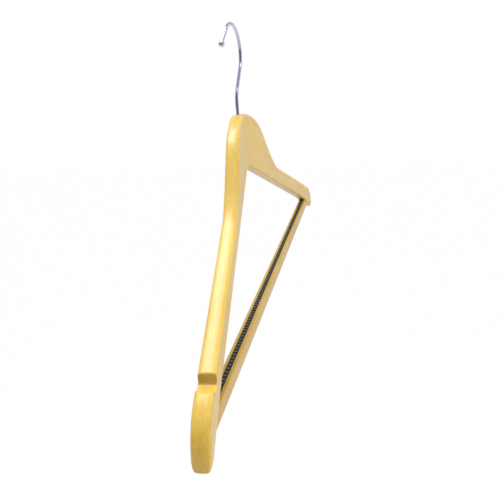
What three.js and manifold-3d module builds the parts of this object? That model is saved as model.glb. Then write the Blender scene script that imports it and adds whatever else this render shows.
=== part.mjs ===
// A wooden suit hanger: two swept arms joined at the head, a trouser bar with a ribbed strip in its groove,
// and a swivel hook.
// Millimetres, +Z up. X runs along the hanger, and the arms sweep forwards, towards -Y.
// The origin is the point under the hook's crown where the hanger sits on its rail.
import * as THREE from "three";
import { mergeVertices } from "three/addons/utils/BufferGeometryUtils.js";
import Module from "manifold-3d";

const wasm = await Module();
wasm.setup();
const radians = THREE.MathUtils.degToRad;

// Driving dimensions. Heights are measured from the top of the head, and places along an arm from the middle.
const boardThickness = 10.8;
const edgeRadius = 2.4;
const sweep = radians(6.25);
const assemblyGap = 0.3;

// Upper edge of an arm: the head's round, the neck's hollow, then the straight shoulder
const headPull = 16.1;
const neckTurn = new THREE.Vector2(42, -18);
const neckTurnSlope = radians(45.6);
const neckTurnPull = 12.6;
const shoulderStart = new THREE.Vector2(88.4, -65.7);
const shoulderSlope = radians(23.7);
const shoulderPull = 17.7;

// Strap notch near the end of the shoulder, and the rounded end below it
const notchStart = 192.8;
const notchWallDepth = 4;
const notchFloor = new THREE.Vector2(195, -118.4);
const notchFloorRun = 3;
const notchEnd = 202.4;
const endTopPull = new THREE.Vector2(12.8, -5.2);
const endSidePull = new THREE.Vector2(-2.4, 15.8);
const tipMiddle = new THREE.Vector2(222.2, -145.3);
const tipRadius = 2.6;
const tipStartAngle = radians(9);
const tipEndAngle = radians(-123);

// Lower edge of an arm
const apexHeight = -42.1;
const apexFillet = 4;
const lowerSlope = radians(24.4);
const lowerStraightEnd = 180.5;
const lowerBend = 193.3;

// Finger joint in the middle of the head
const fingerLength = 9;
const fingerThickness = 2.9;

// Trouser bar between the ends of the arms
const barWidth = 8;
const barTop = -131.5;
const barBottom = -141.3;
const barForward = -22;
const barEdgeRadius = 0.9;
const barEnd = 213.5;
const tenonRadius = 2.75;
const tenonRoot = 197;

// Ribbed strip in the groove of the bar
const stripWidth = 2.8;
const stripDepth = 1.6;
const stripHalfLength = 191;
const ribPitch = 3.64;
const ribLength = 1.7;
const ribHeight = 0.6;

// Pins that hold the bar's tenons, driven in from the back
const pinPlace = 210.5;
const pinRadius = 0.7;
const pinHeadRadius = 1.3;
const pinHeadHeight = 0.6;
const pinLength = 6.4;
const pinSunk = 0.1;

// Hook, with a ball formed on its tip
const wireRadius = 1.4;
const ballRadius = 2.4;
const crownHeight = 70.6;
const loopRadius = 21.5;
const loopExit = radians(39.7);
const tipStart = radians(37.2);
const tipRun = 17.2;
const stemBendRadius = 19;
const hookTurn = radians(-2.2);
const wireBottom = -41.8;

// Washer and crimped collar that keep the hook in the head
const recessRadius = 4;
const recessTop = -35;
const washerRadius = 3.6;
const washerHeight = 0.8;
const collarRadius = 2.9;
const collarHeight = 4.4;

const railHeight = crownHeight - wireRadius;
const boreRadius = wireRadius + assemblyGap;
const barMiddle = (barTop + barBottom) / 2;

// Fineness of round shapes, and how far cutting shapes run past what they cut
const roundSides = 24;
const pinSides = 12;
const cutSpare = 12;
const reach = 400;

// Closed three.js geometry as a solid that can be cut and joined
function solid(geometry) {
  const bare = geometry.clone();
  bare.deleteAttribute("normal");
  bare.deleteAttribute("uv");
  const merged = mergeVertices(bare, 1e-4);
  const vertProperties = new Float32Array(merged.attributes.position.array);
  const triVerts = new Uint32Array(merged.index.array);
  return new wasm.Manifold(new wasm.Mesh({ numProp: 3, vertProperties, triVerts }));
}

function geometryOf(body) {
  const mesh = body.getMesh();
  const geometry = new THREE.BufferGeometry();
  geometry.setAttribute("position", new THREE.BufferAttribute(mesh.vertProperties, 3));
  geometry.setIndex(new THREE.BufferAttribute(mesh.triVerts, 1));
  geometry.computeVertexNormals();
  return geometry;
}

function box(low, high) {
  const size = high.clone().sub(low);
  const geometry = new THREE.BoxGeometry(size.x, size.y, size.z);
  const middle = low.clone().add(high).multiplyScalar(0.5);
  geometry.translate(middle.x, middle.y, middle.z);
  return solid(geometry);
}

// Upright round post
function post(radius, low, high) {
  const geometry = new THREE.CylinderGeometry(radius, radius, high - low, roundSides);
  geometry.rotateX(Math.PI / 2);
  geometry.translate(0, 0, (low + high) / 2);
  return solid(geometry);
}

function shoulderHeight(along) {
  return shoulderStart.y - (along - shoulderStart.x) * Math.tan(shoulderSlope);
}

function lowerHeight(along) {
  return apexHeight - along * Math.tan(lowerSlope);
}

// Point on the small round at the tip of an arm
function onTip(angle) {
  const out = new THREE.Vector2(Math.cos(angle), Math.sin(angle));
  return out.multiplyScalar(tipRadius).add(tipMiddle);
}

// Outline of one arm seen from the front, running past the middle so that the joint can be cut
function armOutline(side) {
  const shape = new THREE.Shape();
  const line = (u, z) => shape.lineTo(side * u, z);
  const bend = (cu, cz, u, z) => shape.quadraticCurveTo(side * cu, cz, side * u, z);
  const curve = (au, az, bu, bz, u, z) => shape.bezierCurveTo(side * au, az, side * bu, bz, side * u, z);
  const neckAlong = Math.cos(neckTurnSlope) * neckTurnPull;
  const neckDown = Math.sin(neckTurnSlope) * neckTurnPull;
  const shoulderAlong = Math.cos(shoulderSlope) * shoulderPull;
  const shoulderDown = Math.sin(shoulderSlope) * shoulderPull;

  shape.moveTo(-side * cutSpare, 0);
  line(0, 0);
  curve(headPull, 0, neckTurn.x - neckAlong, neckTurn.y + neckDown, neckTurn.x, neckTurn.y);
  curve(
    neckTurn.x + neckAlong,
    neckTurn.y - neckDown,
    shoulderStart.x - shoulderAlong,
    shoulderStart.y + shoulderDown,
    shoulderStart.x,
    shoulderStart.y,
  );
  const shoulderEnd = new THREE.Vector2(notchEnd, shoulderHeight(notchEnd));
  line(shoulderEnd.x, shoulderEnd.y);
  const endTop = shoulderEnd.clone().add(endTopPull);
  const tipTop = onTip(tipStartAngle);
  curve(endTop.x, endTop.y, tipTop.x + endSidePull.x, tipTop.y + endSidePull.y, tipTop.x, tipTop.y);
  const tipSteps = 8;
  for (let step = 1; step <= tipSteps; step += 1) {
    const point = onTip(THREE.MathUtils.lerp(tipStartAngle, tipEndAngle, step / tipSteps));
    line(point.x, point.y);
  }
  bend(lowerBend, lowerHeight(lowerBend), lowerStraightEnd, lowerHeight(lowerStraightEnd));
  line(apexFillet, lowerHeight(apexFillet));
  const apexFloor = lowerHeight(apexFillet / 2);
  bend(apexFillet / 2, apexFloor, 0, apexFloor);
  line(-cutSpare, apexFloor);
  return shape;
}

// Cutter of the strap notch, straight through the thickness of the board
function notchCutter(side) {
  const shape = new THREE.Shape();
  const wallTop = shoulderHeight(notchStart);
  const above = wallTop + cutSpare;
  shape.moveTo(side * notchStart, above);
  shape.lineTo(side * notchStart, wallTop - notchWallDepth);
  shape.quadraticCurveTo(side * notchStart, notchFloor.y, side * notchFloor.x, notchFloor.y);
  shape.quadraticCurveTo(
    side * (notchFloor.x + notchFloorRun),
    notchFloor.y,
    side * notchEnd,
    shoulderHeight(notchEnd),
  );
  shape.lineTo(side * (notchEnd + notchWallDepth), above);
  const geometry = new THREE.ExtrudeGeometry(shape, {
    depth: 2 * boardThickness,
    bevelEnabled: false,
    curveSegments: 8,
  });
  geometry.translate(0, 0, -boardThickness);
  return geometry;
}

// Board of one arm with rounded edges and its notch, swept forwards and mitred in the middle
function armBoard(side) {
  const geometry = new THREE.ExtrudeGeometry(armOutline(side), {
    depth: boardThickness - 2 * edgeRadius,
    bevelThickness: edgeRadius,
    bevelSize: edgeRadius,
    bevelOffset: -edgeRadius,
    bevelSegments: 3,
    curveSegments: 8,
  });
  geometry.translate(0, 0, edgeRadius - boardThickness / 2);
  const notch = notchCutter(side);
  for (const part of [geometry, notch]) {
    part.rotateX(Math.PI / 2);
    part.rotateZ(-side * sweep);
  }
  const overlap = 0.05;
  const low = new THREE.Vector3(side > 0 ? -overlap : -reach, -reach, -reach);
  const high = new THREE.Vector3(side > 0 ? reach : overlap, reach, reach);
  return solid(geometry).subtract(solid(notch)).intersect(box(low, high));
}

// Region on one side of the finger joint, as a stepped wall through the head
function fingerRegion(side) {
  const gap = assemblyGap / 2;
  const steps = [-reach, -fingerThickness, 0, fingerThickness, reach];
  const shape = new THREE.Shape();
  shape.moveTo(side * reach, -reach);
  for (let layer = 0; layer < steps.length - 1; layer += 1) {
    const leftFinger = layer % 2 === 0;
    const seam = (leftFinger ? fingerLength : -fingerLength) + side * gap;
    const ownFinger = leftFinger === side < 0;
    const inset = ownFinger ? gap : -gap;
    shape.lineTo(seam, steps[layer] + inset);
    shape.lineTo(seam, steps[layer + 1] - inset);
  }
  shape.lineTo(side * reach, reach);
  const geometry = new THREE.ExtrudeGeometry(shape, { depth: 2 * reach, bevelEnabled: false });
  geometry.translate(0, 0, -reach);
  return solid(geometry);
}

// Round tenon on the bar's middle line, or the mortise that takes it
function tenon(radius, from, to) {
  const geometry = new THREE.CylinderGeometry(radius, radius, Math.abs(to - from), roundSides);
  geometry.rotateZ(Math.PI / 2);
  geometry.translate((from + to) / 2, barForward, barMiddle);
  return solid(geometry);
}

// Pin with its head near the back face of an arm, or the hole that takes it
function pin(side, spare) {
  const headTop = boardThickness / 2 - pinSunk;
  const headBottom = headTop - pinHeadHeight;
  const profile = new THREE.Path();
  profile.moveTo(0, headTop - pinLength - spare);
  profile.lineTo(pinRadius + spare, headTop - pinLength - spare);
  profile.lineTo(pinRadius + spare, headBottom - spare);
  profile.lineTo(pinHeadRadius + spare, headBottom - spare);
  profile.lineTo(pinHeadRadius + spare, headTop + spare);
  profile.lineTo(0, headTop + spare);
  const geometry = new THREE.LatheGeometry(profile.getPoints(), pinSides);
  geometry.translate(side * pinPlace, 0, barMiddle);
  geometry.rotateZ(-side * sweep);
  return geometry;
}

function arm(side, boards) {
  const hookBore = post(boreRadius, apexHeight - cutSpare, cutSpare);
  const hookRecess = post(recessRadius, apexHeight - cutSpare, recessTop);
  const mortiseRadius = tenonRadius + assemblyGap;
  const mortise = tenon(mortiseRadius, side * (tenonRoot - cutSpare), side * (barEnd + assemblyGap));
  return boards
    .intersect(fingerRegion(side))
    .subtract(hookBore)
    .subtract(hookRecess)
    .subtract(mortise)
    .subtract(solid(pin(side, assemblyGap)));
}

// Square bar coped to the arms' lower edges, with a round tenon at each end and a groove in its top
function trouserBar(boards) {
  const half = barWidth / 2;
  const round = barEdgeRadius;
  const groove = stripWidth / 2 + assemblyGap;
  const grooveFloor = barTop - stripDepth - assemblyGap;
  const section = new THREE.Shape();
  section.moveTo(round - half, barBottom);
  section.lineTo(half - round, barBottom);
  section.quadraticCurveTo(half, barBottom, half, barBottom + round);
  section.lineTo(half, barTop - round);
  section.quadraticCurveTo(half, barTop, half - round, barTop);
  section.lineTo(groove, barTop);
  section.lineTo(groove, grooveFloor);
  section.lineTo(-groove, grooveFloor);
  section.lineTo(-groove, barTop);
  section.lineTo(round - half, barTop);
  section.quadraticCurveTo(-half, barTop, -half, barTop - round);
  section.lineTo(-half, barBottom + round);
  section.quadraticCurveTo(-half, barBottom, round - half, barBottom);
  const geometry = new THREE.ExtrudeGeometry(section, {
    depth: 2 * barEnd,
    bevelEnabled: false,
    curveSegments: 3,
  });
  const lengthwise = new THREE.Matrix4().makeBasis(
    new THREE.Vector3(0, 1, 0),
    new THREE.Vector3(0, 0, 1),
    new THREE.Vector3(1, 0, 0),
  );
  geometry.translate(0, 0, -barEnd);
  geometry.applyMatrix4(lengthwise);
  geometry.translate(0, barForward, 0);
  let bar = solid(geometry);
  for (const side of [-1, 1]) {
    bar = bar.subtract(boards.translate([-side * assemblyGap, 0, -assemblyGap]));
  }
  for (const side of [-1, 1]) {
    bar = bar.add(tenon(tenonRadius, side * tenonRoot, side * barEnd));
    bar = bar.subtract(solid(pin(side, assemblyGap)));
  }
  return bar;
}

// Strip with a row of cross ribs, lying in the bar's groove
function ribbedStrip() {
  const bottom = barTop - stripDepth;
  const ribTop = barTop + ribHeight;
  const ribs = Math.floor((2 * stripHalfLength) / ribPitch);
  const shape = new THREE.Shape();
  shape.moveTo(stripHalfLength, bottom);
  shape.lineTo(stripHalfLength, barTop);
  for (let rib = 0; rib < ribs; rib += 1) {
    const middle = ((ribs - 1) / 2 - rib) * ribPitch;
    shape.lineTo(middle + ribLength / 2, barTop);
    shape.lineTo(middle + ribLength / 2, ribTop);
    shape.lineTo(middle - ribLength / 2, ribTop);
    shape.lineTo(middle - ribLength / 2, barTop);
  }
  shape.lineTo(-stripHalfLength, barTop);
  shape.lineTo(-stripHalfLength, bottom);
  const geometry = new THREE.ExtrudeGeometry(shape, { depth: stripWidth, bevelEnabled: false });
  geometry.rotateX(Math.PI / 2);
  geometry.translate(0, barForward + stripWidth / 2, 0);
  return geometry;
}

// Bent wire from the head up into the loop, with the ball on its tip
function hook() {
  const loopMiddle = crownHeight - loopRadius;
  const bendFoot = loopMiddle - loopRadius / Math.sin(loopExit) - stemBendRadius * Math.tan(loopExit / 2);
  const tipAngle = Math.PI / 2 + tipStart;
  const tip = new THREE.Vector2(
    loopRadius * Math.cos(tipAngle) - tipRun * Math.cos(tipStart),
    loopMiddle + loopRadius * Math.sin(tipAngle) - tipRun * Math.sin(tipStart),
  );
  const line = new THREE.Path();
  line.moveTo(0, wireBottom);
  line.lineTo(0, bendFoot);
  line.absarc(stemBendRadius, bendFoot, stemBendRadius, Math.PI, Math.PI - loopExit, true);
  line.absarc(0, loopMiddle, loopRadius, -loopExit, tipAngle, false);
  line.lineTo(tip.x, tip.y);
  const steps = 56;
  const points = line.getSpacedPoints(steps).map((p) => new THREE.Vector3(p.x, 0, p.y));
  const section = new THREE.Shape();
  section.absarc(0, 0, wireRadius, 0, 2 * Math.PI, false);
  const wire = new THREE.ExtrudeGeometry(section, {
    steps,
    curveSegments: 7,
    extrudePath: new THREE.CatmullRomCurve3(points),
  });
  const ball = new THREE.SphereGeometry(ballRadius, 14, 10);
  ball.translate(tip.x, 0, tip.y);
  return geometryOf(solid(wire).add(solid(ball)));
}

// Ring round the hook's wire
function ring(radius, low, height) {
  const profile = new THREE.Path();
  profile.moveTo(boreRadius, low);
  profile.lineTo(radius, low);
  profile.lineTo(radius, low + height);
  profile.lineTo(boreRadius, low + height);
  profile.lineTo(boreRadius, low);
  const geometry = new THREE.LatheGeometry(profile.getPoints(), roundSides);
  geometry.rotateX(Math.PI / 2);
  return geometry;
}

const finishes = {
  armWood: { color: "#dcb868", roughness: 0.35, metalness: 0 },
  barWood: { color: "#d6ad5a", roughness: 0.4, metalness: 0 },
  darkRubber: { color: "#3c3c41", roughness: 0.7, metalness: 0 },
  chrome: { color: "#d5d8de", roughness: 0.08, metalness: 1 },
  steel: { color: "#9b9da1", roughness: 0.4, metalness: 1 },
};

function piece(name, geometry, finish) {
  const mesh = new THREE.Mesh(geometry, new THREE.MeshStandardMaterial(finishes[finish]));
  mesh.name = name;
  return mesh;
}

const boards = armBoard(-1).add(armBoard(1));
const washerLow = recessTop - assemblyGap - washerHeight;
const collarLow = washerLow - assemblyGap - collarHeight;

const hookGroup = new THREE.Group();
hookGroup.rotation.z = hookTurn;
hookGroup.add(piece("hook", hook(), "chrome"));
hookGroup.add(piece("hook_collar", ring(collarRadius, collarLow, collarHeight), "steel"));

const hanger = new THREE.Group();
hanger.position.z = -railHeight;
hanger.add(hookGroup);
hanger.add(piece("hook_washer", ring(washerRadius, washerLow, washerHeight), "steel"));
hanger.add(piece("left_arm", geometryOf(arm(-1, boards)), "armWood"));
hanger.add(piece("right_arm", geometryOf(arm(1, boards)), "armWood"));
hanger.add(piece("trouser_bar", geometryOf(trouserBar(boards)), "barWood"));
hanger.add(piece("anti_slip_strip", ribbedStrip(), "darkRubber"));
hanger.add(piece("left_bar_pin", pin(-1, 0), "steel"));
hanger.add(piece("right_bar_pin", pin(1, 0), "steel"));

export default hanger;
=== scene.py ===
import bmesh
import bpy
import math
from mathutils import Matrix, Vector


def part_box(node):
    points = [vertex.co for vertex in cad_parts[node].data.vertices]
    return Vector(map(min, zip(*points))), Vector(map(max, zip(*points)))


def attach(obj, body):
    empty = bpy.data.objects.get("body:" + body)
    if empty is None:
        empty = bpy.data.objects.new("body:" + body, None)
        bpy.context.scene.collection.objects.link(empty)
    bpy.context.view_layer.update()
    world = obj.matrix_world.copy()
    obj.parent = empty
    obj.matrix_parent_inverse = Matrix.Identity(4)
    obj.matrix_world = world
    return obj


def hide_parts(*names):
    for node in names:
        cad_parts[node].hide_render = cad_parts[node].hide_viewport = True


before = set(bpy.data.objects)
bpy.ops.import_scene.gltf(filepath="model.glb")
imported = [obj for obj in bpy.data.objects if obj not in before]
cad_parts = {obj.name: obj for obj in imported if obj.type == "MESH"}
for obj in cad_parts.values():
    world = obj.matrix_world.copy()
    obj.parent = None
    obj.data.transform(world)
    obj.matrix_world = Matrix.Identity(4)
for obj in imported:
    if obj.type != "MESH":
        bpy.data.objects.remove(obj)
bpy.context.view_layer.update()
mm = 0.001
mergeDistance = 0.0005 * mm  # points closer than this are one point
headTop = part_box("left_arm")[1].z  # heights along the boards count down from here
print("frame loaded, top of the head at", round(headTop, 4))


# Small helpers for modelling by operators

def startPiece(name):
    # the primitive just added becomes a piece with its place in its mesh, open for editing
    piece = bpy.context.object
    piece.name = name
    piece.data.name = name
    bpy.ops.object.transform_apply(location=True, rotation=True, scale=True)
    bpy.ops.object.mode_set(mode="EDIT")
    return piece


def clearSelection():
    if bpy.context.object and bpy.context.object.mode == "EDIT":
        bpy.ops.object.mode_set(mode="OBJECT")
    bpy.ops.object.select_all(action="DESELECT")


def activate(piece):
    clearSelection()
    bpy.context.view_layer.objects.active = piece
    piece.select_set(True)


def pick(piece, kind, test):
    # selects the verts, edges or faces that pass the test
    bpy.ops.mesh.select_mode(type={"verts": "VERT", "edges": "EDGE", "faces": "FACE"}[kind])
    bpy.ops.mesh.select_all(action="DESELECT")
    mesh = bmesh.from_edit_mesh(piece.data)
    for part in getattr(mesh, kind):
        if test(part):
            part.select_set(True)
    mesh.select_flush_mode()
    bmesh.update_edit_mesh(piece.data)


def pull(move):
    # extrudes what is selected
    bpy.ops.mesh.extrude_region_move(TRANSFORM_OT_translate={"value": move})


def finishWith(piece, kind, **settings):
    activate(piece)
    modifier = piece.modifiers.new(kind.lower(), kind)
    for key, value in settings.items():
        setattr(modifier, key, value)
    bpy.ops.object.modifier_apply(modifier=modifier.name)


def cut(piece, tool, how="DIFFERENCE"):
    finishWith(piece, "BOOLEAN", object=tool, operation=how, solver="EXACT")


def remove(*tools):
    for tool in tools:
        bpy.data.objects.remove(tool)


def copyOf(piece, name):
    twin = piece.copy()
    twin.data = piece.data.copy()
    twin.name = name
    twin.data.name = name
    bpy.context.scene.collection.objects.link(twin)
    return twin


def tidyShell(piece):
    # doubles merged and faces turned outwards
    activate(piece)
    bpy.ops.object.mode_set(mode="EDIT")
    bpy.ops.mesh.select_all(action="SELECT")
    bpy.ops.mesh.remove_doubles(threshold=mergeDistance)
    bpy.ops.mesh.normals_make_consistent(inside=False)
    bpy.ops.object.mode_set(mode="OBJECT")


def smooth(piece, degrees=35):
    activate(piece)
    bpy.ops.object.shade_smooth_by_angle(angle=math.radians(degrees))


def drawOutline(name, points):
    # one vertex is pulled from point to point, then the loop is closed and filled
    clearSelection()
    bpy.ops.mesh.primitive_plane_add(size=mm, location=points[0])
    piece = startPiece(name)
    bpy.ops.mesh.select_mode(type="VERT")
    bpy.ops.mesh.select_all(action="SELECT")
    bpy.ops.mesh.merge(type="CENTER")
    for here, there in zip(points, points[1:]):
        bpy.ops.mesh.extrude_vertices_move(TRANSFORM_OT_translate={"value": there - here})
    bpy.ops.mesh.select_all(action="SELECT")
    bpy.ops.mesh.edge_face_add()
    bpy.ops.mesh.select_mode(type="FACE")
    return piece


def roundPost(name, radius, low, high, sides=48):
    # round cutting tool or stem between two points
    middle = (low + high) / 2
    along = high - low
    clearSelection()
    bpy.ops.mesh.primitive_cylinder_add(
        vertices=sides,
        radius=radius,
        depth=along.length,
        location=middle,
        rotation=along.to_track_quat("Z", "Y").to_euler(),
    )
    post = startPiece(name)
    bpy.ops.object.mode_set(mode="OBJECT")
    return post


def turned(name, foot, way, profile, sides=48, bored=False):
    # a ring pulled along its axis through steps of distance and radius, then closed
    distance, radius = profile[0]
    clearSelection()
    bpy.ops.mesh.primitive_circle_add(
        vertices=sides,
        radius=radius,
        location=foot + way * distance,
        rotation=way.to_track_quat("Z", "Y").to_euler(),
    )
    piece = startPiece(name)
    bpy.ops.mesh.select_mode(type="EDGE")
    bpy.ops.mesh.select_all(action="SELECT")
    for nextDistance, nextRadius in profile[1:]:
        pull(way * (nextDistance - distance))
        factor = nextRadius / radius
        bpy.ops.transform.resize(value=(factor, factor, factor), center_override=foot + way * nextDistance)
        distance, radius = nextDistance, nextRadius
    if bored:
        pick(piece, "edges", lambda e: e.is_boundary)
        bpy.ops.mesh.bridge_edge_loops()
    else:
        bpy.ops.mesh.edge_face_add()
        pick(piece, "edges", lambda e: e.is_boundary)
        bpy.ops.mesh.edge_face_add()
    bpy.ops.object.mode_set(mode="OBJECT")
    tidyShell(piece)
    return piece


# Wooden arms: one board pulled out station by station, its edges rounded, swept, mirrored and finger-jointed

armShape = {
    "thickness": 10.8 * mm,
    "edgeRadius": 2.4 * mm,
    "edgeSegments": 6,
    "sweep": math.radians(6.25),
    "middleSpare": 3 * mm,
    "headPull": 16.1 * mm,
    "neckTurn": Vector((42, -18)) * mm,
    "neckTurnSlope": math.radians(45.6),
    "neckTurnPull": 12.6 * mm,
    "shoulderStart": Vector((88.4, -65.7)) * mm,
    "shoulderSlope": math.radians(23.7),
    "shoulderPull": 17.7 * mm,
    "notchStart": 192.8 * mm,
    "notchWallDepth": 3.5 * mm,
    "notchFloor": Vector((195.8, -118.3)) * mm,
    "notchFloorRun": 2.8 * mm,
    "notchEnd": 202.4 * mm,
    "notchCurveSteps": 8,
    "lipRound": 2.1 * mm,
    "lipRise": 0.26 * mm,
    "notchEdgeRadius": 0.6 * mm,
    "notchEdgeSegments": 3,
    "notchCorner": math.radians(55),  # sharper turns than this are softened
    "softenBeforeWall": 4 * mm,
    "softenBelowFloor": 3 * mm,
    "softenShortOfLip": 3.5 * mm,
    "shoulderEnd": 203.2 * mm,
    "endTopPull": Vector((12.8, -5.2)) * mm,
    "endSidePull": Vector((-2.4, 15.8)) * mm,
    "tipMiddle": Vector((222.2, -145.3)) * mm,
    "tipRadius": 2.6 * mm,
    "tipTopAngle": math.radians(9),
    "tipEndAngle": math.radians(-123),
    "crownHeight": 0.15 * mm,
    "crownCuts": 5,
    "tipThinning": 0.24,
    "tipThinReach": 6.5 * mm,
    "tipThinCuts": 5,
    "tipThinWay": Vector((-0.5, 0, 1)),
    "tipFootShare": 0.3,
    "apexHeight": -42.1 * mm,
    "apexFillet": 4 * mm,
    "lowerSlope": math.radians(24.4),
    "lowerStraightEnd": 180.5 * mm,
    "lowerBend": 193.3 * mm,
    "stationsPerCurve": 18,
    "straightStep": 6 * mm,
}


def bezier(points, steps):
    # points of a quadratic or cubic curve after its first one
    order = len(points) - 1
    curve = []
    for step in range(1, steps + 1):
        t = step / steps
        weights = [math.comb(order, k) * t ** k * (1 - t) ** (order - k) for k in range(order + 1)]
        curve.append(sum((p * w for p, w in zip(points, weights)), Vector((0, 0))))
    return curve


def upperEdge(s):
    steps = s["stationsPerCurve"]
    neckWay = Vector((math.cos(s["neckTurnSlope"]), -math.sin(s["neckTurnSlope"]))) * s["neckTurnPull"]
    shoulderWay = Vector((math.cos(s["shoulderSlope"]), -math.sin(s["shoulderSlope"])))
    start = Vector((0, 0))
    neck = s["neckTurn"]
    shoulder = s["shoulderStart"]
    head = [start, Vector((s["headPull"], 0)), neck - neckWay, neck]
    hollow = [neck, neck + neckWay, shoulder - shoulderWay * s["shoulderPull"], shoulder]
    edge = [start] + bezier(head, steps) + bezier(hollow, steps)

    end = onShoulder(s, s["shoulderEnd"])
    count = round((end - shoulder).length / s["straightStep"])
    for step in range(1, count + 1):
        edge.append(shoulder.lerp(end, step / count))
    tipTop = onTip(s, s["tipTopAngle"])
    edge += bezier([end, end + s["endTopPull"], tipTop + s["endSidePull"], tipTop], 2 * steps)
    return edge


def onShoulder(s, along):
    # point on the straight shoulder, also where it runs on over the notch
    start = s["shoulderStart"]
    return Vector((along, start.y - (along - start.x) * math.tan(s["shoulderSlope"])))


def onTip(s, angle):
    return s["tipMiddle"] + s["tipRadius"] * Vector((math.cos(angle), math.sin(angle)))


def lowerEdge(s, along):
    # height of the lower edge at a place along the arm
    slope = math.tan(s["lowerSlope"])
    fillet = s["apexFillet"]
    straightEnd = s["lowerStraightEnd"]
    if along < fillet:
        top = s["apexHeight"] - slope * fillet / 2
        return top - slope * max(along, 0) ** 2 / (2 * fillet)
    if along <= straightEnd:
        return s["apexHeight"] - slope * along
    tipFoot = onTip(s, s["tipEndAngle"])
    if along >= tipFoot.x:
        across = min(abs(along - s["tipMiddle"].x), s["tipRadius"])
        return s["tipMiddle"].y - math.sqrt(s["tipRadius"] ** 2 - across ** 2)
    a = straightEnd - 2 * s["lowerBend"] + tipFoot.x
    b = 2 * (s["lowerBend"] - straightEnd)
    t = (math.sqrt(b * b + 4 * a * (along - straightEnd)) - b) / (2 * a)
    start = s["apexHeight"] - slope * straightEnd
    bend = s["apexHeight"] - slope * s["lowerBend"]
    return (1 - t) ** 2 * start + 2 * t * (1 - t) * bend + t * t * tipFoot.y


def armStations(s):
    # place along the arm, upper height and lower height of each section
    edge = upperEdge(s)
    stations = [(-s["middleSpare"], 0, lowerEdge(s, 0))]
    for point in edge[1:]:
        stations.append((point.x, point.y, lowerEdge(s, point.x)))
    end = onTip(s, -s["tipTopAngle"])
    stations[-1] = (end.x, stations[-1][1], end.y)
    return stations


def armBoard(s):
    stations = armStations(s)
    along, top, bottom = stations[0]
    clearSelection()
    bpy.ops.mesh.primitive_plane_add(
        size=1,
        location=(along, 0, headTop + (top + bottom) / 2),
        rotation=(0, math.radians(90), 0),
    )
    bpy.context.object.scale = (top - bottom, s["thickness"], 1)
    board = startPiece("arm_board")
    bpy.ops.mesh.select_all(action="SELECT")
    for (u0, top0, low0), (u1, top1, low1) in zip(stations, stations[1:]):
        middle = headTop + (top1 + low1) / 2
        pull((u1 - u0, 0, (top1 + low1 - top0 - low0) / 2))
        bpy.ops.transform.resize(
            value=(1, 1, (top1 - low1) / (top0 - low0)),
            center_override=(u1, 0, middle),
        )
    end = stations[-1][0]
    near = 0.001 * mm

    def longEdge(edge):
        a, b = (v.co for v in edge.verts)
        sameFace = abs(a.y - b.y) < near
        alongArm = abs(a.x - b.x) > near
        atTip = min(a.x, b.x) > end - near
        return sameFace and (alongArm or atTip)

    pick(board, "edges", longEdge)
    bpy.ops.mesh.bevel(
        offset=s["edgeRadius"],
        offset_type="OFFSET",
        segments=s["edgeSegments"],
        profile=0.5,
        affect="EDGES",
        clamp_overlap=False,
        loop_slide=False,
    )
    crownEdges(board, s)
    thinTip(board, s)
    bpy.ops.object.mode_set(mode="OBJECT")
    print("arm board pulled out over", len(stations), "stations")
    return board


def crownEdges(board, s):
    # the flats between the rounded corners are cut lengthwise and swelled a little in the middle
    flat = s["thickness"] / 2 - s["edgeRadius"]
    near = 0.01 * mm
    places = [flat * (2 * (k + 1) / (s["crownCuts"] + 1) - 1) for k in range(s["crownCuts"])]
    for place in places:
        bpy.ops.mesh.select_all(action="SELECT")
        bpy.ops.mesh.bisect(plane_co=(0, place, 0), plane_no=(0, 1, 0))
    for place in places:
        pick(board, "verts", lambda v: abs(v.co.y - place) < near and v.co.x > 0)
        bpy.ops.transform.shrink_fatten(value=s["crownHeight"] * (1 - (place / flat) ** 2))


def thinTip(board, s):
    # cuts across the end give it points to follow as its foot is pressed thinner
    foot = s["tipMiddle"] - Vector((0, s["tipRadius"]))
    foot = Vector((foot.x, 0, headTop + foot.y))
    inwards = s["tipThinWay"].normalized()
    for step in range(1, s["tipThinCuts"] + 1):
        bpy.ops.mesh.select_all(action="SELECT")
        place = foot + inwards * s["tipThinReach"] * step / s["tipThinCuts"]
        bpy.ops.mesh.bisect(plane_co=place, plane_no=inwards)
    footReach = s["tipFootShare"] * s["tipRadius"]
    pick(board, "verts", lambda v: Vector((v.co.x - foot.x, v.co.z - foot.z)).length < footReach)
    bpy.ops.transform.resize(
        value=(1, 1 - s["tipThinning"], 1),
        center_override=foot,
        use_proportional_edit=True,
        proportional_edit_falloff="SHARP",
        proportional_size=s["tipThinReach"],
    )


def sweptBoards(s):
    # the board turned forwards, cut square in the middle and mirrored into one long body
    boards = armBoard(s)
    activate(boards)
    bpy.ops.object.mode_set(mode="EDIT")
    bpy.ops.mesh.select_all(action="SELECT")
    bpy.ops.transform.rotate(value=s["sweep"], orient_axis="Z", center_override=(0, 0, 0))
    bpy.ops.mesh.bisect(plane_co=(0, 0, 0), plane_no=(1, 0, 0), clear_inner=True)
    bpy.ops.object.mode_set(mode="OBJECT")
    finishWith(boards, "MIRROR", use_axis=(True, False, False), merge_threshold=0.01 * mm)
    tidyShell(boards)
    for side in (-1, 1):
        cutter = notchCutter(side, s)
        cut(boards, cutter)
        remove(cutter)
    softenNotches(boards, s)
    return boards


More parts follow.
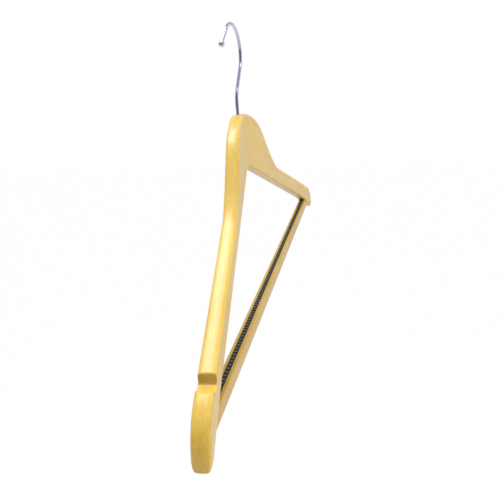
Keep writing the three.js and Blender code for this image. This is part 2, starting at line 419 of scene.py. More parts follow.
def notchCutter(side, s):
    # the notch's side view, drawn with room above it and pulled through the thickness of the board
    top = onShoulder(s, s["notchStart"])
    foot = top - Vector((0, s["notchWallDepth"]))
    floor = s["notchFloor"]
    lip = onShoulder(s, s["notchEnd"])
    end = onShoulder(s, s["notchEnd"] + s["lipRound"]) + Vector((0, s["lipRise"]))
    turn = floor + Vector((s["notchFloorRun"], 0))
    ramp = lip + (turn - lip).normalized() * s["lipRound"]
    above = Vector((0, 3 * s["notchWallDepth"]))
    steps = s["notchCurveSteps"]
    profile = [top + above, foot]
    profile += bezier([foot, Vector((foot.x, floor.y)), floor], steps)
    profile += bezier([floor, turn, ramp], steps)
    profile += bezier([ramp, lip, end], steps)
    profile.append(end + above + Vector((s["notchWallDepth"], 0)))
    reach = s["thickness"]
    cutter = drawOutline("notch_cutter", [Vector((side * p.x, -reach, headTop + p.y)) for p in profile])
    pull((0, 2 * reach, 0))
    bpy.ops.mesh.select_all(action="SELECT")
    bpy.ops.mesh.normals_make_consistent(inside=False)
    bpy.ops.transform.rotate(value=side * s["sweep"], orient_axis="Z", center_override=(0, 0, 0))
    bpy.ops.object.mode_set(mode="OBJECT")
    return cutter


def softenNotches(boards, s):
    # the corners across the notches lose their sharpness, up to the lip, which is round already
    activate(boards)
    bpy.ops.object.mode_set(mode="EDIT")
    start = s["notchStart"] - s["softenBeforeWall"]
    end = s["notchEnd"] - s["softenShortOfLip"]
    low = headTop + s["notchFloor"].y - s["softenBelowFloor"]

    def across(edge):
        middle = (edge.verts[0].co + edge.verts[1].co) / 2
        inNotch = start < abs(middle.x) < end and middle.z > low
        return inNotch and edge.calc_face_angle(0) > s["notchCorner"]

    pick(boards, "edges", across)
    bpy.ops.mesh.bevel(
        offset=s["notchEdgeRadius"],
        segments=s["notchEdgeSegments"],
        profile=0.5,
        affect="EDGES",
        clamp_overlap=False,
    )
    bpy.ops.object.mode_set(mode="OBJECT")


# Finger joint in the head: a stepped wall parts the two arms, with a hairline glue line between them

jointShape = {
    "fingerLength": 9 * mm,
    "fingerThickness": 2.9 * mm,
    "glueLine": 0.06 * mm,
    "reach": 300 * mm,
}


def fingerRegion(side, j):
    reach = j["reach"]
    gap = j["glueLine"] / 2
    layers = [-reach, -j["fingerThickness"], 0, j["fingerThickness"], reach]
    points = [Vector((side * reach, -reach, -reach))]
    for layer, (low, high) in enumerate(zip(layers, layers[1:])):
        leftFinger = layer % 2 == 0
        seam = (1 if leftFinger else -1) * j["fingerLength"] + side * gap
        inset = gap if leftFinger == (side < 0) else -gap
        points.append(Vector((seam, low + inset, -reach)))
        points.append(Vector((seam, high - inset, -reach)))
    points.append(Vector((side * reach, reach, -reach)))
    region = drawOutline("finger_region", points)
    pull((0, 0, 2 * reach))
    bpy.ops.mesh.select_all(action="SELECT")
    bpy.ops.mesh.normals_make_consistent(inside=False)
    bpy.ops.object.mode_set(mode="OBJECT")
    return region


# Holes in the wood: bore and recess of the hook, mortises of the bar, and pin holes in the back

holeShape = {
    "boreRadius": 1.7 * mm,
    "recessRadius": 4 * mm,
    "recessTop": -35 * mm,
    "mortiseSpare": 0.1 * mm,
    "pinSpare": 0.05 * mm,
    "runOut": 12 * mm,
}

barShape = {
    "edgeRadius": 0.9 * mm,
    "edgeSegments": 5,
    "grooveSpare": 0.3 * mm,
    "tenonRadius": 2.75 * mm,
    "tenonRoot": 197 * mm,
    "seat": 0.03 * mm,
}

pinShape = {
    "shankRadius": 0.7 * mm,
    "headRadius": 1.3 * mm,
    "headHeight": 0.6 * mm,
    "headDome": 0.22 * mm,
    "point": 1.2 * mm,
    "pointShare": 0.1,  # radius at the point, of the shank's
    "domeShare": 0.75,  # radii of the dome's two rings, of the head's
    "domeTopShare": 0.3,
    "sides": 32,
}

barLow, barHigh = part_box("trouser_bar")
barMiddle = (barLow + barHigh) / 2
pinNodes = {-1: "left_bar_pin", 1: "right_bar_pin"}


def pinPlace(node, side, p):
    # foot on the pin's axis, the way to its head, and its length
    low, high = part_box(node)
    way = Vector((side * math.sin(armShape["sweep"]), math.cos(armShape["sweep"]), 0))
    outer = high.x if side > 0 else low.x
    lean = abs(way.x)
    inwards = outer - side * p["headRadius"] * way.y
    headEnd = Vector((inwards, high.y - p["headRadius"] * lean, (low.z + high.z) / 2))
    length = (headEnd.y - low.y - p["shankRadius"] * lean) / way.y
    return headEnd - way * length, way, length


def pinHoles(p, h):
    # shank and head of each pin as cutting tools
    spare = h["pinSpare"]
    tools = []
    for side, node in pinNodes.items():
        foot, way, length = pinPlace(node, side, p)
        neck = foot + way * (length - p["headHeight"])
        shankEnd = neck + way * spare
        outside = neck + way * h["runOut"]
        tools.append(roundPost("pin_hole", p["shankRadius"] + spare, foot, shankEnd, p["sides"]))
        tools.append(roundPost("head_hole", p["headRadius"] + spare, neck, outside, p["sides"]))
    return tools


def bored(boards, h):
    apex = headTop + armShape["apexHeight"]
    top = Vector((0, 0, headTop + h["runOut"]))
    below = Vector((0, 0, apex - h["runOut"]))
    tools = [
        roundPost("bore", h["boreRadius"], below, top),
        roundPost("recess", h["recessRadius"], below, Vector((0, 0, headTop + h["recessTop"]))),
    ]
    for side in (-1, 1):
        root = Vector((side * (barShape["tenonRoot"] - h["runOut"]), barMiddle.y, barMiddle.z))
        tip = Vector((side * (barHigh.x + h["mortiseSpare"]), barMiddle.y, barMiddle.z))
        tools.append(roundPost("mortise", barShape["tenonRadius"] + h["mortiseSpare"], root, tip))
    tools += pinHoles(pinShape, h)
    for tool in tools:
        cut(boards, tool)
    remove(*tools)


boards = sweptBoards(armShape)
plainBoards = copyOf(boards, "plain_boards")
bored(boards, holeShape)
arms = {}
for side, name in ((-1, "left"), (1, "right")):
    arm = copyOf(boards, name + "_board")
    region = fingerRegion(side, jointShape)
    cut(arm, region, "INTERSECT")
    remove(region)
    arms[name] = arm
remove(boards)
for name, arm in arms.items():
    smooth(arm)
    finishWith(arm, "WEIGHTED_NORMAL", keep_sharp=True)
    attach(arm, "wooden_frame")
    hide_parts(name + "_arm")
print("arms parted at the finger joint")


# Trouser bar: its section drawn, pulled to length, coped to the arms and given its tenons

stripLow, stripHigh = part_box("anti_slip_strip")


def roundedCorner(corner, fromWay, toWay, radius, steps):
    # points of a quarter round that replaces a corner of the section
    middle = corner + (fromWay + toWay) * radius
    points = []
    for step in range(steps + 1):
        a = math.pi / 2 * step / steps
        points.append(middle - toWay * radius * math.cos(a) - fromWay * radius * math.sin(a))
    return points


def barSection(b):
    # corners run round the section, as seen from the right end
    y0, y1 = barLow.y, barHigh.y
    z0, z1 = barLow.z, barHigh.z
    grooveLeft = stripLow.y - b["grooveSpare"]
    grooveRight = stripHigh.y + b["grooveSpare"]
    grooveFloor = stripLow.z - b["grooveSpare"]
    x = barLow.x
    up = Vector((0, 0, 1))
    back = Vector((0, 1, 0))
    r, n = b["edgeRadius"], b["edgeSegments"]
    points = roundedCorner(Vector((x, y0, z0)), up, back, r, n)
    points += roundedCorner(Vector((x, y1, z0)), -back, up, r, n)
    points += roundedCorner(Vector((x, y1, z1)), -up, -back, r, n)
    points += [
        Vector((x, grooveRight, z1)),
        Vector((x, grooveRight, grooveFloor)),
        Vector((x, grooveLeft, grooveFloor)),
        Vector((x, grooveLeft, z1)),
    ]
    points += roundedCorner(Vector((x, y0, z1)), back, -up, r, n)
    return points


def trouserBar(b):
    bar = drawOutline("bar", barSection(b))
    pull((barHigh.x - barLow.x, 0, 0))
    bpy.ops.mesh.select_all(action="SELECT")
    bpy.ops.mesh.normals_make_consistent(inside=False)
    bpy.ops.object.mode_set(mode="OBJECT")
    for side in (-1, 1):
        seat = copyOf(plainBoards, "seat")
        seat.location = (-side * b["seat"], 0, -b["seat"])
        bpy.context.view_layer.update()
        cut(bar, seat)
        remove(seat)
    for side in (-1, 1):
        root = Vector((side * b["tenonRoot"], barMiddle.y, barMiddle.z))
        tip = Vector((side * barHigh.x, barMiddle.y, barMiddle.z))
        tenon = roundPost("tenon", b["tenonRadius"], root, tip)
        cut(bar, tenon, "UNION")
        remove(tenon)
    tools = pinHoles(pinShape, holeShape)
    for tool in tools:
        cut(bar, tool)
    remove(*tools)
    return bar


bar = trouserBar(barShape)
tidyShell(bar)
smooth(bar)
finishWith(bar, "WEIGHTED_NORMAL", keep_sharp=True)
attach(bar, "wooden_frame")
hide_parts("trouser_bar")
remove(plainBoards)
print("trouser bar coped to the arms")


# Anti-slip strip: one rib on its length of band, repeated along the groove

stripShape = {
    "ribPitch": 3.64 * mm,
    "ribLength": 1.7 * mm,
    "ribHeight": 0.6 * mm,
    "ribSide": 0.32 * mm,
    "ribInset": 0.08 * mm,
    "ribRound": 0.22 * mm,
    "ribRoundSegments": 3,
    "smoothUnder": 40,
}


def ribbedStrip(s):
    pitch = s["ribPitch"]
    ribs = math.floor((stripHigh.x - stripLow.x) / pitch)
    bandTop = stripHigh.z - s["ribHeight"]
    middle = Vector((0, (stripLow.y + stripHigh.y) / 2, (stripLow.z + bandTop) / 2))
    near = 0.01 * mm
    facing = 0.9  # part of a normal that makes its face look along an axis
    clearSelection()
    bpy.ops.mesh.primitive_cube_add(size=1, location=middle)
    bpy.context.object.scale = (pitch, stripHigh.y - stripLow.y, bandTop - stripLow.z)
    strip = startPiece("ribbed_strip")
    for place in (-0.5, 0.5):
        bpy.ops.mesh.select_all(action="SELECT")
        bpy.ops.mesh.bisect(plane_co=(place * s["ribLength"], 0, 0), plane_no=(1, 0, 0))
    pick(strip, "faces", lambda f: f.normal.z > facing and abs(f.calc_center_median().x) < near)
    bpy.ops.mesh.inset(thickness=s["ribInset"], use_even_offset=True)
    bpy.ops.transform.resize(
        value=(1, 1 - 2 * s["ribSide"] / (stripHigh.y - stripLow.y), 1),
        center_override=(0, middle.y, bandTop),
    )
    pull((0, 0, s["ribHeight"]))
    pick(strip, "edges", lambda e: min(v.co.z for v in e.verts) > stripHigh.z - near)
    bpy.ops.mesh.bevel(offset=s["ribRound"], segments=s["ribRoundSegments"], profile=0.5, affect="EDGES")

    def atEnd(face):
        place = abs(face.calc_center_median().x)
        return abs(face.normal.x) > facing and abs(place - pitch / 2) < near

    pick(strip, "faces", atEnd)
    bpy.ops.mesh.delete(type="FACE")
    bpy.ops.object.mode_set(mode="OBJECT")
    finishWith(
        strip,
        "ARRAY",
        count=ribs,
        use_relative_offset=False,
        use_constant_offset=True,
        constant_offset_displace=(pitch, 0, 0),
        use_merge_vertices=True,
        merge_threshold=near,
    )
    activate(strip)
    bpy.ops.object.mode_set(mode="EDIT")
    bpy.ops.mesh.select_all(action="SELECT")
    bpy.ops.transform.translate(value=(-(ribs - 1) * pitch / 2, 0, 0))
    reach = ribs * pitch / 2
    for side, end in ((-1, stripLow.x), (1, stripHigh.x)):
        pick(strip, "edges", lambda e: all(side * v.co.x > reach - near for v in e.verts))
        pull((end - side * reach, 0, 0))
        bpy.ops.mesh.edge_face_add()
    bpy.ops.object.mode_set(mode="OBJECT")
    print("strip has", ribs, "ribs")
    return strip


strip = ribbedStrip(stripShape)
tidyShell(strip)
smooth(strip, stripShape["smoothUnder"])
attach(strip, "wooden_frame")
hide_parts("anti_slip_strip")


# Hook: a round section pulled up the stem, spun round both bends and swelled into the ball

hookShape = {
    "wireRadius": 1.4 * mm,
    "wireSides": 32,
    "ballRadius": 2.4 * mm,
    "ballRings": 14,
    "crownHeight": 70.6 * mm,
    "loopRadius": 21.5 * mm,
    "loopExit": math.radians(39.7),
    "tipStart": math.radians(37.2),
    "tipRun": 17.2 * mm,
    "stemBendRadius": 19 * mm,
    "turn": math.radians(-2.2),
    "bottom": -41.8 * mm,
    "stemSteps": 6,
    "stemBendSteps": 16,
    "loopSteps": 80,
    "smoothUnder": 40,
}


def bentHook(h):
    crown = headTop + h["crownHeight"]
    loopMiddle = crown - h["loopRadius"]
    bendFoot = loopMiddle - h["loopRadius"] / math.sin(h["loopExit"])
    bendFoot -= h["stemBendRadius"] * math.tan(h["loopExit"] / 2)
    foot = headTop + h["bottom"]
    clearSelection()
    bpy.ops.mesh.primitive_circle_add(vertices=h["wireSides"], radius=h["wireRadius"], location=(0, 0, foot))
    hook = startPiece("bent_hook")
    bpy.ops.mesh.select_mode(type="EDGE")
    bpy.ops.mesh.select_all(action="SELECT")
    for step in range(h["stemSteps"]):
        pull((0, 0, (bendFoot - foot) / h["stemSteps"]))
    bpy.ops.mesh.spin(
        steps=h["stemBendSteps"],
        angle=h["loopExit"],
        center=(h["stemBendRadius"], 0, bendFoot),
        axis=(0, -1, 0),
    )
    straight = h["loopRadius"] / math.tan(h["loopExit"]) - h["stemBendRadius"] * math.tan(h["loopExit"] / 2)
    leaning = Vector((math.sin(h["loopExit"]), 0, math.cos(h["loopExit"])))
    pull(leaning * straight)
    bpy.ops.mesh.spin(
        steps=h["loopSteps"],
        angle=math.pi / 2 + h["loopExit"] + h["tipStart"],
        center=(0, 0, loopMiddle),
        axis=(0, 1, 0),
    )
    falling = Vector((-math.cos(h["tipStart"]), 0, -math.sin(h["tipStart"])))
    swellBall(h, falling)
    bpy.ops.mesh.select_all(action="SELECT")
    bpy.ops.transform.rotate(value=-h["turn"], orient_axis="Z", center_override=(0, 0, 0))
    bpy.ops.object.mode_set(mode="OBJECT")
    return hook


def swellBall(h, way):
    # the open end runs to the ball, then its ring follows the ball's round to half a step from the pole
    ball, wire = h["ballRadius"], h["wireRadius"]
    neck = math.asin(wire / ball)
    pull(way * (h["tipRun"] - ball * math.cos(neck)))
    mesh = bmesh.from_edit_mesh(bpy.context.object.data)
    ring = [v.co for v in mesh.verts if v.select]
    centre = sum(ring, Vector()) / len(ring) + way * ball * math.cos(neck)
    last = neck
    for step in range(1, h["ballRings"] + 1):
        angle = neck + (math.pi - neck) * step / (h["ballRings"] + 0.5)
        pull(way * ball * (math.cos(last) - math.cos(angle)))
        factor = math.sin(angle) / math.sin(last)
        middle = centre - way * ball * math.cos(angle)
        bpy.ops.transform.resize(value=(factor, factor, factor), center_override=middle)
        last = angle
    bpy.ops.mesh.edge_face_add()


hook = bentHook(hookShape)
activate(hook)
bpy.ops.object.mode_set(mode="EDIT")
pick(hook, "edges", lambda e: e.is_boundary)
bpy.ops.mesh.edge_face_add()
bpy.ops.object.mode_set(mode="OBJECT")
tidyShell(hook)
smooth(hook, hookShape["smoothUnder"])
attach(hook, "swivel_hook")
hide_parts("hook")
print("hook bent")


# Small metal pieces: pins through the tenons, and the washer and collar under the head

ringShape = {
    "boreRadius": 1.55 * mm,
    "edgeRound": 0.15 * mm,
    "crimpDepth": 0.3 * mm,
    "crimpHalfHeight": 0.9 * mm,
    "crimpProfile": ((-1, 0), (-0.5, 0.75), (0, 1), (0.5, 0.75), (1, 0)),
}


def barPin(node, side, p):
    foot, way, length = pinPlace(node, side, p)
    neck = length - p["headHeight"]
    profile = [
        (0, p["pointShare"] * p["shankRadius"]),
        (p["point"], p["shankRadius"]),
        (neck, p["shankRadius"]),
        (neck, p["headRadius"]),
        (length - p["headDome"], p["headRadius"]),
        (length - p["headDome"] / 3, p["domeShare"] * p["headRadius"]),
        (length, p["domeTopShare"] * p["headRadius"]),
    ]
    return turned(node + "_brad", foot, way, profile, p["sides"])


brads = []
for side, node in pinNodes.items():
    brad = barPin(node, side, pinShape)
    brads.append(brad)
    smooth(brad)
    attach(brad, "wooden_frame")
    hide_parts(node)


def bareRing(name, node, r, crimp):
    # washer, or collar with a pressed waist
    low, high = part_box(node)
    radius = high.x
    height = high.z - low.z
    edge = r["edgeRound"]
    profile = [
        (0, r["boreRadius"]),
        (0, radius - edge),
        (edge, radius),
    ]
    if crimp:
        for place, depth in r["crimpProfile"]:
            profile.append((height / 2 + place * r["crimpHalfHeight"], radius - depth * r["crimpDepth"]))
    profile += [
        (height - edge, radius),
        (height, radius - edge),
        (height, r["boreRadius"]),
    ]
    return turned(name, Vector((0, 0, low.z)), Vector((0, 0, 1)), profile, bored=True)


washer = bareRing("flat_washer", "hook_washer", ringShape, crimp=False)
smooth(washer)
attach(washer, "wooden_frame")
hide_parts("hook_washer")

collar = bareRing("crimped_collar", "hook_collar", ringShape, crimp=True)
smooth(collar)
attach(collar, "swivel_hook")
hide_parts("hook_collar")
print("pins, washer and collar turned")


# Camera where the photograph was taken from

cameraSpot = {
    "target": Vector((0, 0, headTop - 80 * mm)),
    "distance": 448.2 * mm,
    "azimuth": math.radians(14.585),
    "elevation": math.radians(17.03),
    "roll": math.radians(-4.77),
    "lens": 37.29,
    "shiftX": 0.0086,
    "shiftY": -0.0847,
    "clipStart": 10 * mm,
}


def addCamera(c):
    flat = math.cos(c["elevation"])
    back = Vector((-flat * math.cos(c["azimuth"]), -flat * math.sin(c["azimuth"]), math.sin(c["elevation"])))
    right = (-back).cross(Vector((0, 0, 1))).normalized()
    up = right.cross(-back)
    turn = Matrix.Rotation(c["roll"], 3, back)
    data = bpy.data.cameras.new("camera")
    data.lens = c["lens"]
    data.shift_x = c["shiftX"]
    data.shift_y = c["shiftY"]
    data.clip_start = c["clipStart"]
    camera = bpy.data.objects.new("camera", data)
    bpy.context.scene.collection.objects.link(camera)
    axes = Matrix((turn @ right, turn @ up, back)).transposed()
    camera.matrix_world = Matrix.Translation(c["target"] + back * c["distance"]) @ axes.to_4x4()
    bpy.context.scene.camera = camera


addCamera(cameraSpot)
bpy.context.scene.view_settings.view_transform = "Standard"
print("camera placed")


# Shader arithmetic: a socket that adds Math nodes as it is used in expressions

class Signal:
    def __init__(self, tree, socket=None):
        self.tree = tree
        self.socket = socket

    def node(self, kind, settings=None, inputs=None, out=0):
        made = self.tree.nodes.new(kind)
        for key, value in (settings or {}).items():
            setattr(made, key, value)
        for key, value in (inputs or {}).items():
            if isinstance(value, Signal):
                self.tree.links.new(value.socket, made.inputs[key])
            else:
                made.inputs[key].default_value = value
        return Signal(self.tree, made.outputs[out])

    def math(self, operation, *values):
        return self.node("ShaderNodeMath", {"operation": operation}, dict(enumerate(values)))

    def __add__(self, other):
        return self.math("ADD", self, other)

    def __radd__(self, other):
        return self.math("ADD", other, self)

    def __sub__(self, other):
        return self.math("SUBTRACT", self, other)

    def __rsub__(self, other):
        return self.math("SUBTRACT", other, self)

    def __mul__(self, other):
        return self.math("MULTIPLY", self, other)

    def __rmul__(self, other):
        return self.math("MULTIPLY", other, self)

    def between(self, low, high):
        # smooth step from 0 to 1 while the signal goes from low to high
        spans = {"Value": self, "From Min": low, "From Max": high}
        return self.node("ShaderNodeMapRange", {"interpolation_type": "SMOOTHSTEP"}, spans)

    def stretched(self, scale):
        return self.node("ShaderNodeVectorMath", {"operation": "MULTIPLY"}, {0: self, 1: scale})

    def noise(self, scale, detail=2, roughness=0.5, distortion=0):
        # noise over this vector, stretched by a scale for each axis
        inputs = {"Vector": self.stretched(scale), "Scale": 1, "Detail": detail}
        inputs.update({"Roughness": roughness, "Distortion": distortion})
        return self.node("ShaderNodeTexNoise", {"noise_dimensions": "3D"}, inputs)

    def blend(self, first, second):
        # from the first colour to the second as the signal goes from 0 to 1
        return self.node("ShaderNodeMix", {"data_type": "RGBA"}, {0: self, 6: first, 7: second}, 2)

    def parts(self):
        split = self.node("ShaderNodeSeparateXYZ", {}, {0: self})
        return [Signal(self.tree, socket) for socket in split.socket.node.outputs]


def newFinish(name, constants):
    # material, its object coordinates and its shader
    finish = bpy.data.materials.new(name)
    finish.use_nodes = True
    shader = finish.node_tree.nodes["Principled BSDF"]
    for key, value in constants.items():
        shader.inputs[key].default_value = value
    places = Signal(finish.node_tree).node("ShaderNodeTexCoord", {}, {}, "Object")
    return finish, places, shader


def feed(shader, **signals):
    names = {"colour": "Base Color", "roughness": "Roughness", "normal": "Normal"}
    for key, signal in signals.items():
        signal.tree.links.new(signal.socket, shader.inputs[names[key]])


def bump(height, strength, distance):
    return height.node("ShaderNodeBump", {}, {"Height": height, "Strength": strength, "Distance": distance})


def dress(piece, finish):
    piece.data.materials.clear()
    piece.data.materials.append(finish)


# Finishes

woodLook = {
    "pale": (0.80, 0.55, 0.105, 1),
    "deep": (0.68, 0.43, 0.06, 1),
    "fleck": (0.56, 0.32, 0.035, 1),
    # end grain of the notch wall, darker than the faces and deepened further to paint the shade that falls
    # in the notch
    "endGrainAndShade": (0.50, 0.34, 0.085, 1),
    "gloss": {"Specular IOR Level": 0.25, "Coat Roughness": 0.27, "Coat IOR": 1.5, "Coat Weight": 0.8},
    "roughness": 0.42,
}

barLook = {
    "pale": (0.66, 0.44, 0.085, 1),
    "deep": (0.55, 0.34, 0.045, 1),
    "fleck": (0.46, 0.26, 0.03, 1),
    "gloss": {"Specular IOR Level": 0.2, "Coat Roughness": 0.3, "Coat IOR": 1.45, "Coat Weight": 0.65},
    "roughness": 0.48,
}

# sizes are counts per metre along and across the grain
grain = {
    "streaks": (14, 360, 360),
    "streakWander": 0.3,
    "fine": (70, 2200, 2200),
    "clouds": (16, 45, 45),
    "flecks": (230, 1500, 1500),
    "fleckBand": (0.62, 0.72),
    "fleckStrength": 0.5,
    "tone": {"streaks": 0.9, "clouds": 0.7, "fine": 0.5, "less": 0.55},
    "toneBand": (0.1, 0.9),
    "roughness": {"clouds": 0.12, "fine": 0.1},
    "bump": {"streaks": 0.6, "fine": 0.4},
    "bumpStrength": 0.12,
    "bumpHeight": 0.1 * mm,
}

# where the notch wall's darker colour fades in and out: end grain that is darker anyway, deepened into
# painted shade in the notch
notchWall = {
    "near": (-0.6 * mm, -0.2 * mm),  # along the arm, from the wall
    "far": (0.4 * mm, 2.6 * mm),
    "edge": (0.8 * mm, 0.2 * mm),  # in from the faces of the board
    "top": (0.2 * mm, 0.9 * mm),  # down from the shoulder
    "foot": (6 * mm, 7 * mm),
}


def onShadedNotchWall(places, turn, n):
    # mask of painted shade on the sawn wall across the grain, inside the rounded edges and below the
    # shoulder; the end grain there is darker too, and its colour is deepened to stand in for the notch's
    # shade
    board = places.node("ShaderNodeMapping", {}, {"Vector": places, "Rotation": (0, 0, turn[2])})
    x, y, z = board.parts()
    along = x.math("ABSOLUTE", x)
    across = y.math("ABSOLUTE", y)
    wall = armShape["notchStart"]
    face = armShape["thickness"] / 2
    depth = headTop + onShoulder(armShape, wall).y - z
    onWall = along.between(wall + n["near"][0], wall + n["near"][1])
    onWall = onWall * (1 - along.between(wall + n["far"][0], wall + n["far"][1]))
    inside = 1 - across.between(face - n["edge"][0], face - n["edge"][1])
    return onWall * inside * depth.between(*n["top"]) * (1 - depth.between(*n["foot"]))


def lacqueredWood(name, turn, w, g, notched=True):
    # straight grain along the turned x axis, with soft clouds and short flecks under a clear coat
    finish, places, shader = newFinish(name, w["gloss"])
    along = places.node("ShaderNodeMapping", {}, {"Vector": places, "Rotation": turn})
    streaks = along.noise(g["streaks"], detail=4, roughness=0.6, distortion=g["streakWander"])
    fine = along.noise(g["fine"])
    clouds = along.noise(g["clouds"])
    flecks = along.noise(g["flecks"], detail=1).between(*g["fleckBand"])
    t, r, b = g["tone"], g["roughness"], g["bump"]
    tone = t["streaks"] * streaks + t["clouds"] * clouds + t["fine"] * fine - t["less"]
    wood = tone.between(*g["toneBand"]).blend(w["pale"], w["deep"])
    wood = (flecks * g["fleckStrength"]).blend(wood, w["fleck"])
    # the notch wall gets painted shade on top of its darker end grain
    if notched:
        wood = onShadedNotchWall(places, turn, notchWall).blend(wood, w["endGrainAndShade"])
    feed(shader, colour=wood)
    feed(shader, roughness=w["roughness"] + r["clouds"] * (clouds - 0.5) + r["fine"] * (fine - 0.5))
    height = b["streaks"] * streaks + b["fine"] * fine
    feed(shader, normal=bump(height, g["bumpStrength"], g["bumpHeight"]))
    return finish


chromeLook = {
    "bright": (0.86, 0.87, 0.91, 1),
    "hazy": (0.74, 0.75, 0.80, 1),
    "haze": (140, 140, 140),
    "hazeBand": (0.45, 0.75),
    "roughness": 0.02,
    "hazeRoughness": 0.03,
    "ripple": (500, 500, 500),
    "rippleStrength": 0.008,
    "rippleHeight": 0.05 * mm,
}


def chrome(name, c):
    finish, places, shader = newFinish(name, {"Metallic": 1.0})
    haze = places.noise(c["haze"], detail=3)
    feed(shader, colour=haze.between(*c["hazeBand"]).blend(c["bright"], c["hazy"]))
    feed(shader, roughness=c["roughness"] + c["hazeRoughness"] * haze)
    feed(shader, normal=bump(places.noise(c["ripple"]), c["rippleStrength"], c["rippleHeight"]))
    return finish


steelLook = {
    "light": (0.52, 0.52, 0.54, 1),
    "dark": (0.33, 0.33, 0.35, 1),
    "cloud": (900, 900, 900),
    "cloudBand": (0.35, 0.7),
    "roughness": 0.3,
    "cloudRoughness": 0.2,
    "bumpStrength": 0.1,
    "bumpHeight": 0.05 * mm,
}


def plainSteel(name, c):
    finish, places, shader = newFinish(name, {"Metallic": 1.0})
    cloud = places.noise(c["cloud"], detail=4)
    feed(shader, colour=cloud.between(*c["cloudBand"]).blend(c["light"], c["dark"]))
    feed(shader, roughness=c["roughness"] + c["cloudRoughness"] * cloud)
    feed(shader, normal=bump(cloud, c["bumpStrength"], c["bumpHeight"]))
    return finish


rubberLook = {
    "dark": (0.027, 0.027, 0.032, 1),
    "dusty": (0.048, 0.049, 0.055, 1),
    # paler rib tops are a painted highlight, and the band left very dark between them is painted shade
    "litRibTops": (0.125, 0.132, 0.142, 1),
    "ribLightBand": (0.75, 0.3),  # down from the rib tops, in rib heights
    "dust": (450, 900, 900),
    "dustBand": (0.4, 0.75),
    "gloss": {"Specular IOR Level": 0.4},
    "roughness": 0.5,
    "dustRoughness": 0.2,
    "pores": (4000, 4000, 4000),
    "poreStrength": 0.15,
    "poreHeight": 0.03 * mm,
}


def mouldedRubber(name, c):
    # the rib tops are painted paler than the band between them: a painted highlight on the tops, and painted
    # shade in the dark gaps
    finish, places, shader = newFinish(name, c["gloss"])
    dust = places.noise(c["dust"], detail=3)
    height = places.parts()[2]
    ribLightFrom, ribLightFull = (stripHigh.z - share * stripShape["ribHeight"] for share in c["ribLightBand"])
    rubber = dust.between(*c["dustBand"]).blend(c["dark"], c["dusty"])
    feed(shader, colour=height.between(ribLightFrom, ribLightFull).blend(rubber, c["litRibTops"]))
    feed(shader, roughness=c["roughness"] + c["dustRoughness"] * dust)
    feed(shader, normal=bump(places.noise(c["pores"]), c["poreStrength"], c["poreHeight"]))
    return finish


lean = armShape["shoulderSlope"]
sweep = armShape["sweep"]
leftWood = lacqueredWood("left arm wood", (0, lean, -sweep), woodLook, grain)
rightWood = lacqueredWood("right arm wood", (0, -lean, sweep), woodLook, grain)
barWood = lacqueredWood("bar wood", (0, 0, 0), barLook, grain, notched=False)
hookChrome = chrome("hook chrome", chromeLook)
bareSteel = plainSteel("plain steel", steelLook)
darkRubber = mouldedRubber("strip rubber", rubberLook)
dress(arms["left"], leftWood)
dress(arms["right"], rightWood)
dress(bar, barWood)
dress(strip, darkRubber)
dress(hook, hookChrome)
for small in brads + [washer, collar]:
    dress(small, bareSteel)
print("finishes laid on")


# Studio: white backdrop, pale floor far below the hanging piece, and softboxes above and in front of it

studio = {
    "floorHeight": -1.6,
    "floorSize": 14,
    "floorColour": (0.88, 0.88, 0.9, 1),
    "floorRoughness": 0.9,
    "shadowShare": 0.015,  # of the plain floor that the camera sees
    "dimSide": (0.12, 0.12, 0.12, 1),
    "brightSide": (0.84, 0.84, 0.84, 1),
    "wall": (0.42, 0.43, 0.52, 1),
    "cameraWall": (0.12, 0.125, 0.155, 1),
    "ceiling": (0.29, 0.31, 0.46, 1),
    "backdrop": (0.70, 0.70, 0.80, 1),
    "frontWall": (0.8, 0.8, 0.88, 1),
    "nearFloor": (0.48, 0.49, 0.60, 1),
    "white": (1, 1, 1, 1),
    "lampAim": Vector((0, 0, headTop - 60 * mm)),
}

# where one part of the studio fades into the next: places on the floor, and directions in the world
fades = {
    "nearFloor": (-0.6, 0.4),
    "cameraWall": (-0.6, -0.4),
    "ceiling": (0.62, 0.72),
    "backdropSide": (0.5, 0.6),
    "backdropFront": (-0.3, -0.2),
    "backdropTop": (0.25, 0.35),
    "frontWallSide": (0.2, 0.4),
    "frontWallBack": (-0.4, -0.3),
    "frontWallTop": (0.55, 0.7),
    "dimSide": (-0.8, -0.1),
    "dimTop": (0.5, 1),
}

softboxes = {
    "overhead": {
        "way": Vector((0.14, 0.31, 1.27)),
        "distance": 1.31,
        "size": (0.7, 0.4),
        "power": 8.6,
        "mirrored": True,
    },
    "front_left": {
        "way": Vector((-0.41, -0.28, 0.87)),
        "distance": 1.3,
        "size": (0.42, 0.45),
        "power": 1.3,
        "mirrored": True,
    },
    "left_fill": {
        "way": Vector((-0.3, 0.2, 0.93)),
        "distance": 1.3,
        "size": (0.5, 0.5),
        "power": 5.6,
        "mirrored": False,
    },
    "front": {
        "way": Vector((0.4, -0.8, 0.5)),
        "distance": 1.3,
        "size": (1, 0.7),
        "power": 4,
        "mirrored": False,
    },
    "front_low": {
        "way": Vector((-0.5, -0.75, -0.4)),
        "distance": 1.3,
        "size": (0.5, 0.5),
        "power": 3.4,
        "mirrored": False,
    },
}


def rayKinds(maker):
    # 1 for a ray from the camera, for a mirrored ray and for a ray through glass
    kinds = ("Is Camera Ray", "Is Glossy Ray", "Is Transmission Ray")
    return [maker.node("ShaderNodeLightPath", {}, {}, kind) for kind in kinds]


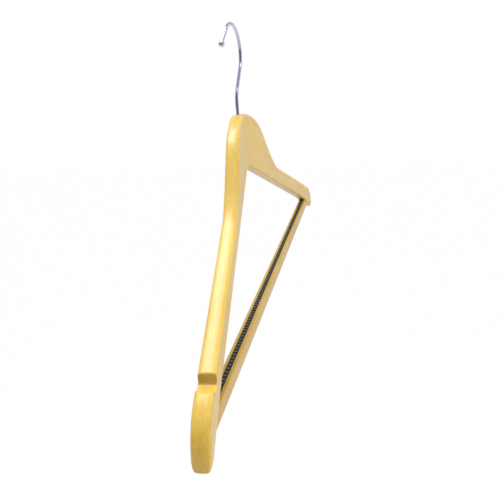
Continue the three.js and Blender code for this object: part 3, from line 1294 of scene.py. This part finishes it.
def addFloor(s, f):
    clearSelection()
    bpy.ops.mesh.primitive_plane_add(size=s["floorSize"], location=(0, 0, s["floorHeight"]))
    floor = startPiece("floor")
    bpy.ops.object.mode_set(mode="OBJECT")
    matt = {"Roughness": s["floorRoughness"], "Base Color": s["floorColour"]}
    finish, places, shader = newFinish("floor", matt)
    camera, glossy, through = rayKinds(places)
    mirrored = places.parts()[0].between(*f["nearFloor"]).blend(s["nearFloor"], s["backdrop"])
    colour = camera.blend(mirrored, s["white"])
    glow = places.node("ShaderNodeEmission", {}, {"Color": colour, "Strength": 1})
    plain = Signal(places.tree, shader.outputs[0])
    glowing = (1 - s["shadowShare"]) * camera + glossy + through
    shown = places.node("ShaderNodeMixShader", {}, {0: glowing, 1: plain, 2: glow})
    output = finish.node_tree.nodes["Material Output"]
    places.tree.links.new(shown.socket, output.inputs["Surface"])
    dress(floor, finish)


def lightWorld(s, f):
    world = bpy.data.worlds.new("studio")
    world.use_nodes = True
    bpy.context.scene.world = world
    maker = Signal(world.node_tree)
    x, y, z = maker.node("ShaderNodeTexCoord", {}, {}, "Generated").parts()
    camera, glossy, through = rayKinds(maker)
    walls = x.between(*f["cameraWall"]).blend(s["cameraWall"], s["wall"])
    room = z.between(*f["ceiling"]).blend(walls, s["ceiling"])
    behind = x.between(*f["backdropSide"]) * y.between(*f["backdropFront"])
    behind = behind * (1 - z.between(*f["backdropTop"]))
    inFront = x.between(*f["frontWallSide"]) * (1 - y.between(*f["frontWallBack"]))
    inFront = inFront * (1 - z.between(*f["frontWallTop"]))
    mirrored = inFront.blend(behind.blend(room, s["backdrop"]), s["frontWall"])
    low = (1 - x.between(*f["dimSide"])) * (1 - z.between(*f["dimTop"]))
    soft = low.blend(s["brightSide"], s["dimSide"])
    colour = camera.blend((glossy + through).blend(soft, mirrored), s["white"])
    background = world.node_tree.nodes["Background"]
    world.node_tree.links.new(colour.socket, background.inputs["Color"])


def addSoftbox(name, b, aim):
    data = bpy.data.lights.new(name, "AREA")
    data.shape = "RECTANGLE"
    data.size, data.size_y = b["size"]
    data.energy = b["power"]
    lamp = bpy.data.objects.new(name, data)
    lamp.visible_glossy = b["mirrored"]
    way = b["way"].normalized()
    lamp.location = aim + way * b["distance"]
    side = Vector((0, 1, 0)).cross(way).normalized()
    axes = Matrix((side, way.cross(side), way)).transposed()
    lamp.rotation_euler = axes.to_euler()
    bpy.context.scene.collection.objects.link(lamp)


addFloor(studio, fades)
lightWorld(studio, fades)
for name, box in softboxes.items():
    addSoftbox(name, box, studio["lampAim"])
print("studio lit")
